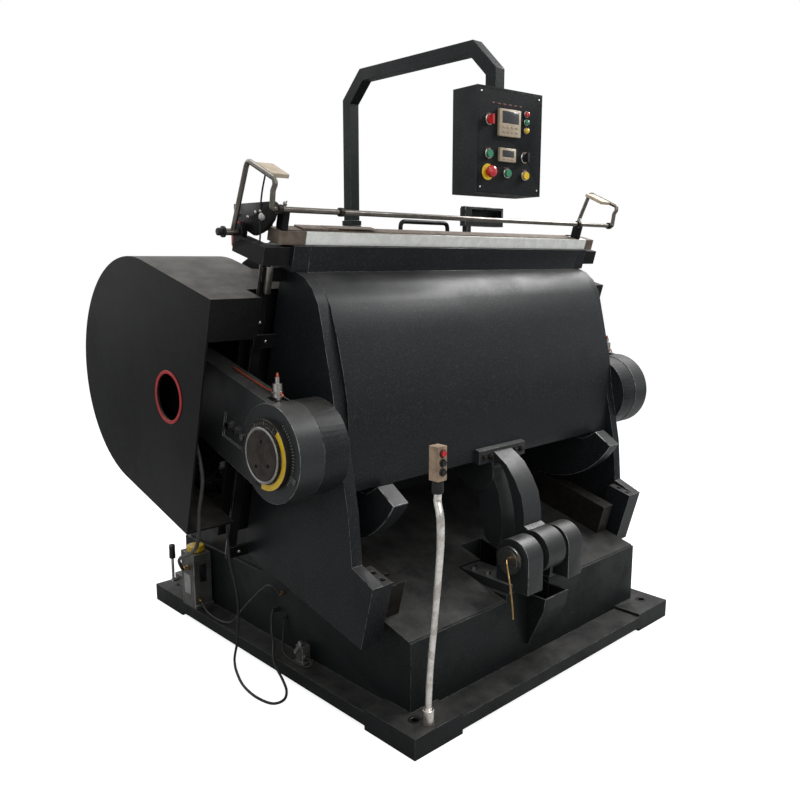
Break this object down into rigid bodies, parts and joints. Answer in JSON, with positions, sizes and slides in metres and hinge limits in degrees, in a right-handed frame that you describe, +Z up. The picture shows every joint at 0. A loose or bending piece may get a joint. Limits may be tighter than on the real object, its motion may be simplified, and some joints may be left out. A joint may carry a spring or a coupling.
{
  "type": "platen die cutting machine",
  "caption": "Clamshell platen press for die cutting and creasing board: rocking domed platen, side links, enclosed crank gears and a swivelling control box.",
  "frame": {"origin": "centre of the four anchor holes, on the floor", "axes": "+Z up, +Y from the operator side to the back of the machine, +X to the right of someone who stands at the front"},
  "size_m": [2.256, 1.9405, 2.41],
  "materials": {
    "charcoal_paint": "satin charcoal paint with a fine orange-peel texture",
    "black_paint": "black semi-gloss paint",
    "worn_steel": "machined steel, oiled",
    "bright_steel": "bright plated steel",
    "galvanised": "galvanised strip",
    "hardboard": "pressed board",
    "black_oxide": "black oxide finish",
    "brass_pipe": "drawn brass",
    "red_rubber": "red edge trim",
    "beige_plastic": "moulded beige plastic",
    "red_plastic": "moulded red plastic",
    "green_plastic": "moulded green plastic",
    "yellow_plastic": "moulded yellow plastic",
    "black_plastic": "moulded black plastic",
    "black_rubber": "moulded rubber",
    "black_cable": "black sheathed cable",
    "grey_hose": "grey flexible hose",
    "cast_grey": "cast body, light grey paint"
  },
  "bodies": {
    "frame": {"base_frame": "charcoal_paint", "rocker_rails": "worn_steel", "drip_pocket": "charcoal_paint", "pillow_blocks": "charcoal_paint", "bridle_studs": "worn_steel", "bridle_oil_pipe": "brass_pipe", "bed_frame": "charcoal_paint", "die_chase": "worn_steel", "gear_stubs": "worn_steel", "gear_cover_left": "charcoal_paint", "gear_cover_right": "charcoal_paint", "view_rings": "red_rubber", "motor": "charcoal_paint", "drive_belt": "black_rubber", "mast": "charcoal_paint", "rear_bracket": "charcoal_paint", "pendant_tube": "bright_steel", "pendant_box": "beige_plastic", "oil_pump": "cast_grey", "limit_switch": "bright_steel", "oil_hoses": "grey_hose", "switch_lead": "black_cable", "floor_cable": "black_cable"},
    "links": {"link_arms": "charcoal_paint", "link_oilers": "bright_steel"},
    "platen": {"platen_shell": "charcoal_paint", "platen_cheeks": "charcoal_paint", "platen_rockers": "charcoal_paint", "trunnion_pins": "worn_steel", "top_strip": "galvanised", "strip_ends": "hardboard", "cutting_plate": "worn_steel", "bridle": "charcoal_paint", "side_posts": "black_paint", "bar_brackets": "black_paint"},
    "guard_bar": {"safety_bar": "bright_steel", "bar_sensors": "beige_plastic", "sensor_lead": "black_cable"},
    "dial_left": {"pressure_dial_left": "black_oxide"},
    "dial_right": {"pressure_dial_right": "black_oxide"},
    "crank_gears": {"bull_gears": "black_oxide"},
    "countershaft": {"countershaft": "worn_steel"},
    "clutch_shaft": {"clutch_shaft": "worn_steel"},
    "flywheel": {"flywheel": "charcoal_paint"},
    "motor_shaft": {"motor_pulley": "worn_steel"},
    "swing_arm": {"gooseneck": "charcoal_paint"},
    "control_box": {"control_box": "charcoal_paint", "panel_fixtures": "beige_plastic"},
    "stop_button": {"stop_button": "red_plastic"},
    "selector_upper": {"selector_upper": "black_plastic"},
    "selector_lower": {"selector_lower": "black_plastic"},
    "button_green_left": {"button_green_left": "green_plastic"},
    "button_green_mid": {"button_green_mid": "green_plastic"},
    "button_yellow": {"button_yellow": "yellow_plastic"},
    "pendant_red": {"pendant_button_red": "red_plastic"},
    "pendant_up": {"pendant_button_up": "black_plastic"},
    "pendant_down": {"pendant_button_down": "black_plastic"},
    "pump_lever": {"pump_lever": "bright_steel"},
    "pump_cap": {"pump_cap": "yellow_plastic"},
    "switch_lever": {"switch_lever": "bright_steel"}
  },
  "joints": [
    {"name": "press_stroke", "type": "slide", "parent": "frame", "child": "links", "axis": [0, -0.9064, -0.4224], "range_m": [0, 0.424]},
    {"name": "platen_rock", "type": "hinge", "parent": "links", "child": "platen", "pos_m": [0, -0.43662, 0.9804], "axis": [1, 0, 0], "range_deg": [0, 45]},
    {"name": "guard_lift", "type": "hinge", "parent": "platen", "child": "guard_bar", "pos_m": [0, -0.175, 1.693], "axis": [1, 0, 0], "range_deg": [-12, 0]},
    {"name": "dial_left_turn", "type": "hinge", "parent": "links", "child": "dial_left", "pos_m": [-1.04, -0.43662, 0.9804], "axis": [-1, 0, 0], "range_deg": [-60, 60]},
    {"name": "dial_right_turn", "type": "hinge", "parent": "links", "child": "dial_right", "pos_m": [1.04, -0.43662, 0.9804], "axis": [1, 0, 0], "range_deg": [-60, 60]},
    {"name": "crank_turn", "type": "hinge", "parent": "frame", "child": "crank_gears", "pos_m": [0, 0.30328, 1.17866], "axis": [1, 0, 0], "range_deg": [0, 180]},
    {"name": "countershaft_turn", "type": "hinge", "parent": "frame", "child": "countershaft", "pos_m": [0, 0.24843, 0.73201], "axis": [1, 0, 0], "range_deg": [-978, 0]},
    {"name": "clutch_shaft_turn", "type": "hinge", "parent": "frame", "child": "clutch_shaft", "pos_m": [0, 0.40043, 0.73201], "axis": [1, 0, 0], "range_deg": [0, 1677]},
    {"name": "flywheel_turn", "type": "hinge", "parent": "frame", "child": "flywheel", "pos_m": [0, 0.40043, 0.73201], "axis": [1, 0, 0], "continuous": true},
    {"name": "motor_turn", "type": "hinge", "parent": "frame", "child": "motor_shaft", "pos_m": [0, 0.64, 0.47], "axis": [1, 0, 0], "continuous": true},
    {"name": "arm_swivel", "type": "hinge", "parent": "frame", "child": "swing_arm", "pos_m": [-0.05, 0.3, 1.755], "axis": [0, 0, 1], "range_deg": [-60, 60]},
    {"name": "box_swivel", "type": "hinge", "parent": "swing_arm", "child": "control_box", "pos_m": [-0.05, -0.53, 2.222], "axis": [0, 0, 1], "range_deg": [-90, 90]},
    {"name": "stop_button_press", "type": "slide", "parent": "control_box", "child": "stop_button", "axis": [0.0872, 0.9962, 0], "range_m": [0, 0.008], "stiffness_N_per_m": 400},
    {"name": "button_green_left_press", "type": "slide", "parent": "control_box", "child": "button_green_left", "axis": [0.0872, 0.9962, 0], "range_m": [0, 0.004], "stiffness_N_per_m": 400},
    {"name": "button_green_mid_press", "type": "slide", "parent": "control_box", "child": "button_green_mid", "axis": [0.0872, 0.9962, 0], "range_m": [0, 0.004], "stiffness_N_per_m": 400},
    {"name": "button_yellow_press", "type": "slide", "parent": "control_box", "child": "button_yellow", "axis": [0.0872, 0.9962, 0], "range_m": [0, 0.004], "stiffness_N_per_m": 400},
    {"name": "selector_upper_turn", "type": "hinge", "parent": "control_box", "child": "selector_upper", "pos_m": [-0.14632, -0.58682, 2.099], "axis": [-0.0872, -0.9962, 0], "range_deg": [-45, 45]},
    {"name": "selector_lower_turn", "type": "hinge", "parent": "control_box", "child": "selector_lower", "pos_m": [0.03997, -0.60312, 1.978], "axis": [-0.0872, -0.9962, 0], "range_deg": [0, 90]},
    {"name": "pendant_red_press", "type": "slide", "parent": "frame", "child": "pendant_red", "axis": [0, 1, 0], "range_m": [0, 0.002], "stiffness_N_per_m": 300},
    {"name": "pendant_up_press", "type": "slide", "parent": "frame", "child": "pendant_up", "axis": [0, 1, 0], "range_m": [0, 0.002], "stiffness_N_per_m": 300},
    {"name": "pendant_down_press", "type": "slide", "parent": "frame", "child": "pendant_down", "axis": [0, 1, 0], "range_m": [0, 0.002], "stiffness_N_per_m": 300},
    {"name": "pump_lever_swing", "type": "hinge", "parent": "frame", "child": "pump_lever", "pos_m": [-0.752, 0.682, 0.16], "axis": [1, 0, 0], "range_deg": [-25, 25]},
    {"name": "pump_cap_turn", "type": "hinge", "parent": "frame", "child": "pump_cap", "pos_m": [-0.755, 0.572, 0.31], "axis": [0, 0, 1], "range_deg": [0, 270]},
    {"name": "switch_lever_tilt", "type": "hinge", "parent": "frame", "child": "switch_lever", "pos_m": [-0.735, -0.196, 0.117], "axis": [1, 0, 0], "range_deg": [-25, 25], "stiffness_Nm_per_rad": 0.8}
  ],
  "couplings": [
    {"joint": "platen_rock", "follows": "press_stroke", "rad_per_m": 1.8523},
    {"joint": "crank_turn", "follows": "press_stroke", "rad_per_m": 7.4094},
    {"joint": "countershaft_turn", "follows": "press_stroke", "rad_per_m": -40.222},
    {"joint": "clutch_shaft_turn", "follows": "press_stroke", "rad_per_m": 68.953},
    {"joint": "motor_turn", "follows": "flywheel_turn", "ratio": 3.0588}
  ]
}
